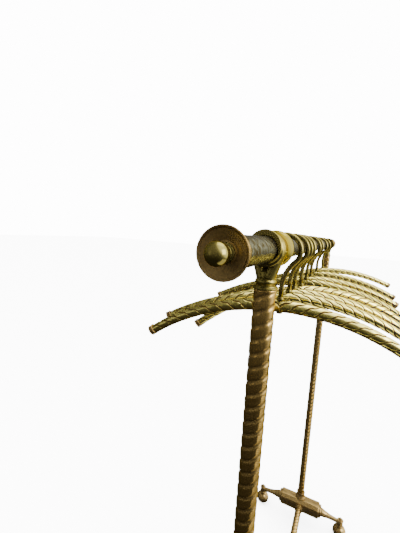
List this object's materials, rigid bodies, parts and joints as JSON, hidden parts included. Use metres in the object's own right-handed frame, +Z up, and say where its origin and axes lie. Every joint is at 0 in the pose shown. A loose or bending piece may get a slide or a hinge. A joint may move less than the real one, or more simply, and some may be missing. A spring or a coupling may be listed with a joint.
{
  "type": "garment rack",
  "caption": "Antique brass garment rack: hammered rail in Y yokes on twisted columns, T feet on ball castors, rope-twist coat hangers hung on the rail.",
  "frame": {"origin": "on the floor under the middle of the rail", "axes": "+X along the rail from the near end to the far end, +Y along the feet, +Z up"},
  "size_m": [1.4308, 0.4621, 1.3985],
  "materials": {
    "aged_brass": "aged satin",
    "hammered_brass": "hammered, aged",
    "twisted_brass": "aged, burnished ridges",
    "dark_brass": "dark patina",
    "bright_brass": "polished",
    "rope_brass": "polished rope twist",
    "wire_brass": "aged satin",
    "steel": "plain"
  },
  "bodies": {
    "rack": {"rail_tube": "hammered_brass", "rail_end_plugs": "steel", "near_flange": "dark_brass", "far_flange": "dark_brass", "ball_finials": "bright_brass", "near_yoke": "bright_brass", "far_yoke": "bright_brass", "yoke_set_screws": "steel", "near_column": "twisted_brass", "far_column": "twisted_brass", "column_top_rings": "bright_brass", "column_tie_rods": "steel", "near_socket": "dark_brass", "far_socket": "dark_brass", "near_foot": "dark_brass", "far_foot": "dark_brass", "stretcher": "twisted_brass", "stretcher_rod": "steel", "stretcher_cups": "dark_brass", "stretcher_washers": "dark_brass", "stretcher_cap_nuts": "dark_brass", "boss_caps": "dark_brass", "castor_bushes": "steel"},
    "castor_1_swivel": {"castor_1_hood": "dark_brass", "castor_1_axle": "steel"},
    "castor_1_wheel": {"castor_1_ball": "dark_brass"},
    "castor_2_swivel": {"castor_2_hood": "dark_brass", "castor_2_axle": "steel"},
    "castor_2_wheel": {"castor_2_ball": "dark_brass"},
    "castor_3_swivel": {"castor_3_hood": "dark_brass", "castor_3_axle": "steel"},
    "castor_3_wheel": {"castor_3_ball": "dark_brass"},
    "castor_4_swivel": {"castor_4_hood": "dark_brass", "castor_4_axle": "steel"},
    "castor_4_wheel": {"castor_4_ball": "dark_brass"},
    "hanger_1_hook_body": {"hanger_1_hook": "wire_brass"},
    "hanger_1_bar_body": {"hanger_1_bar": "rope_brass", "hanger_1_caps": "dark_brass"},
    "hanger_2_hook_body": {"hanger_2_hook": "wire_brass"},
    "hanger_2_bar_body": {"hanger_2_bar": "rope_brass", "hanger_2_caps": "dark_brass"},
    "hanger_3_hook_body": {"hanger_3_hook": "wire_brass"},
    "hanger_3_bar_body": {"hanger_3_bar": "rope_brass", "hanger_3_caps": "dark_brass"},
    "hanger_4_hook_body": {"hanger_4_hook": "wire_brass"},
    "hanger_4_bar_body": {"hanger_4_bar": "rope_brass", "hanger_4_caps": "dark_brass"},
    "hanger_5_hook_body": {"hanger_5_hook": "wire_brass"},
    "hanger_5_bar_body": {"hanger_5_bar": "rope_brass", "hanger_5_caps": "dark_brass"},
    "hanger_6_hook_body": {"hanger_6_hook": "wire_brass"},
    "hanger_6_bar_body": {"hanger_6_bar": "rope_brass", "hanger_6_caps": "dark_brass"},
    "hanger_7_hook_body": {"hanger_7_hook": "wire_brass"},
    "hanger_7_bar_body": {"hanger_7_bar": "rope_brass", "hanger_7_caps": "dark_brass"},
    "hanger_8_hook_body": {"hanger_8_hook": "wire_brass"},
    "hanger_8_bar_body": {"hanger_8_bar": "rope_brass", "hanger_8_caps": "dark_brass"}
  },
  "joints": [
    {"name": "castor_1_turn", "type": "hinge", "parent": "rack", "child": "castor_1_swivel", "pos_m": [-0.54, -0.184, 0.07], "axis": [0, 0, 1], "continuous": true},
    {"name": "castor_1_roll", "type": "hinge", "parent": "castor_1_swivel", "child": "castor_1_wheel", "pos_m": [-0.528, -0.184, 0.025], "axis": [0, 1, 0], "continuous": true},
    {"name": "castor_2_turn", "type": "hinge", "parent": "rack", "child": "castor_2_swivel", "pos_m": [-0.54, 0.184, 0.07], "axis": [0, 0, 1], "continuous": true},
    {"name": "castor_2_roll", "type": "hinge", "parent": "castor_2_swivel", "child": "castor_2_wheel", "pos_m": [-0.528, 0.184, 0.025], "axis": [0, 1, 0], "continuous": true},
    {"name": "castor_3_turn", "type": "hinge", "parent": "rack", "child": "castor_3_swivel", "pos_m": [0.54, -0.184, 0.07], "axis": [0, 0, 1], "continuous": true},
    {"name": "castor_3_roll", "type": "hinge", "parent": "castor_3_swivel", "child": "castor_3_wheel", "pos_m": [0.552, -0.184, 0.025], "axis": [0, 1, 0], "continuous": true},
    {"name": "castor_4_turn", "type": "hinge", "parent": "rack", "child": "castor_4_swivel", "pos_m": [0.54, 0.184, 0.07], "axis": [0, 0, 1], "continuous": true},
    {"name": "castor_4_roll", "type": "hinge", "parent": "castor_4_swivel", "child": "castor_4_wheel", "pos_m": [0.552, 0.184, 0.025], "axis": [0, 1, 0], "continuous": true},
    {"name": "hanger_1_swing", "type": "hinge", "parent": "rack", "child": "hanger_1_hook_body", "pos_m": [-0.432, 0, 1.373], "axis": [1, 0, 0], "range_deg": [-25, 25]},
    {"name": "hanger_1_turn", "type": "hinge", "parent": "hanger_1_hook_body", "child": "hanger_1_bar_body", "pos_m": [-0.432, 0, 1.278], "axis": [0, 0, 1], "range_deg": [-3, 3]},
    {"name": "hanger_2_swing", "type": "hinge", "parent": "rack", "child": "hanger_2_hook_body", "pos_m": [-0.35, 0, 1.373], "axis": [1, 0, 0], "range_deg": [-25, 25]},
    {"name": "hanger_2_turn", "type": "hinge", "parent": "hanger_2_hook_body", "child": "hanger_2_bar_body", "pos_m": [-0.35, 0.00166, 1.27801], "axis": [0, -0.0175, 0.9998], "range_deg": [-3, 3]},
    {"name": "hanger_3_swing", "type": "hinge", "parent": "rack", "child": "hanger_3_hook_body", "pos_m": [-0.3, 0, 1.373], "axis": [1, 0, 0], "range_deg": [-25, 25]},
    {"name": "hanger_3_turn", "type": "hinge", "parent": "hanger_3_hook_body", "child": "hanger_3_bar_body", "pos_m": [-0.3, 0, 1.278], "axis": [0, 0, 1], "range_deg": [-3, 3]},
    {"name": "hanger_4_swing", "type": "hinge", "parent": "rack", "child": "hanger_4_hook_body", "pos_m": [-0.248, 0, 1.373], "axis": [1, 0, 0], "range_deg": [-25, 25]},
    {"name": "hanger_4_turn", "type": "hinge", "parent": "hanger_4_hook_body", "child": "hanger_4_bar_body", "pos_m": [-0.248, -0.00663, 1.27823], "axis": [0, 0.0698, 0.9976], "range_deg": [-3, 3]},
    {"name": "hanger_5_swing", "type": "hinge", "parent": "rack", "child": "hanger_5_hook_body", "pos_m": [-0.12, 0, 1.373], "axis": [1, 0, 0], "range_deg": [-25, 25]},
    {"name": "hanger_5_turn", "type": "hinge", "parent": "hanger_5_hook_body", "child": "hanger_5_bar_body", "pos_m": [-0.12, 0, 1.278], "axis": [0, 0, 1], "range_deg": [-2.5, 2.5]},
    {"name": "hanger_6_swing", "type": "hinge", "parent": "rack", "child": "hanger_6_hook_body", "pos_m": [-0.05, 0, 1.373], "axis": [1, 0, 0], "range_deg": [-25, 25]},
    {"name": "hanger_6_turn", "type": "hinge", "parent": "hanger_6_hook_body", "child": "hanger_6_bar_body", "pos_m": [-0.05, -0.00331, 1.27806], "axis": [0, 0.0349, 0.9994], "range_deg": [-2.5, 2.5]},
    {"name": "hanger_7_swing", "type": "hinge", "parent": "rack", "child": "hanger_7_hook_body", "pos_m": [0.105, 0, 1.373], "axis": [1, 0, 0], "range_deg": [-25, 25]},
    {"name": "hanger_7_turn", "type": "hinge", "parent": "hanger_7_hook_body", "child": "hanger_7_bar_body", "pos_m": [0.105, -0.00331, 1.27806], "axis": [0, 0.0349, 0.9994], "range_deg": [-8, 8]},
    {"name": "hanger_8_swing", "type": "hinge", "parent": "rack", "child": "hanger_8_hook_body", "pos_m": [0.25, 0, 1.373], "axis": [1, 0, 0], "range_deg": [-25, 25]},
    {"name": "hanger_8_turn", "type": "hinge", "parent": "hanger_8_hook_body", "child": "hanger_8_bar_body", "pos_m": [0.25, -0.00993, 1.27852], "axis": [0, 0.1045, 0.9945], "range_deg": [-8, 8]}
  ]
}
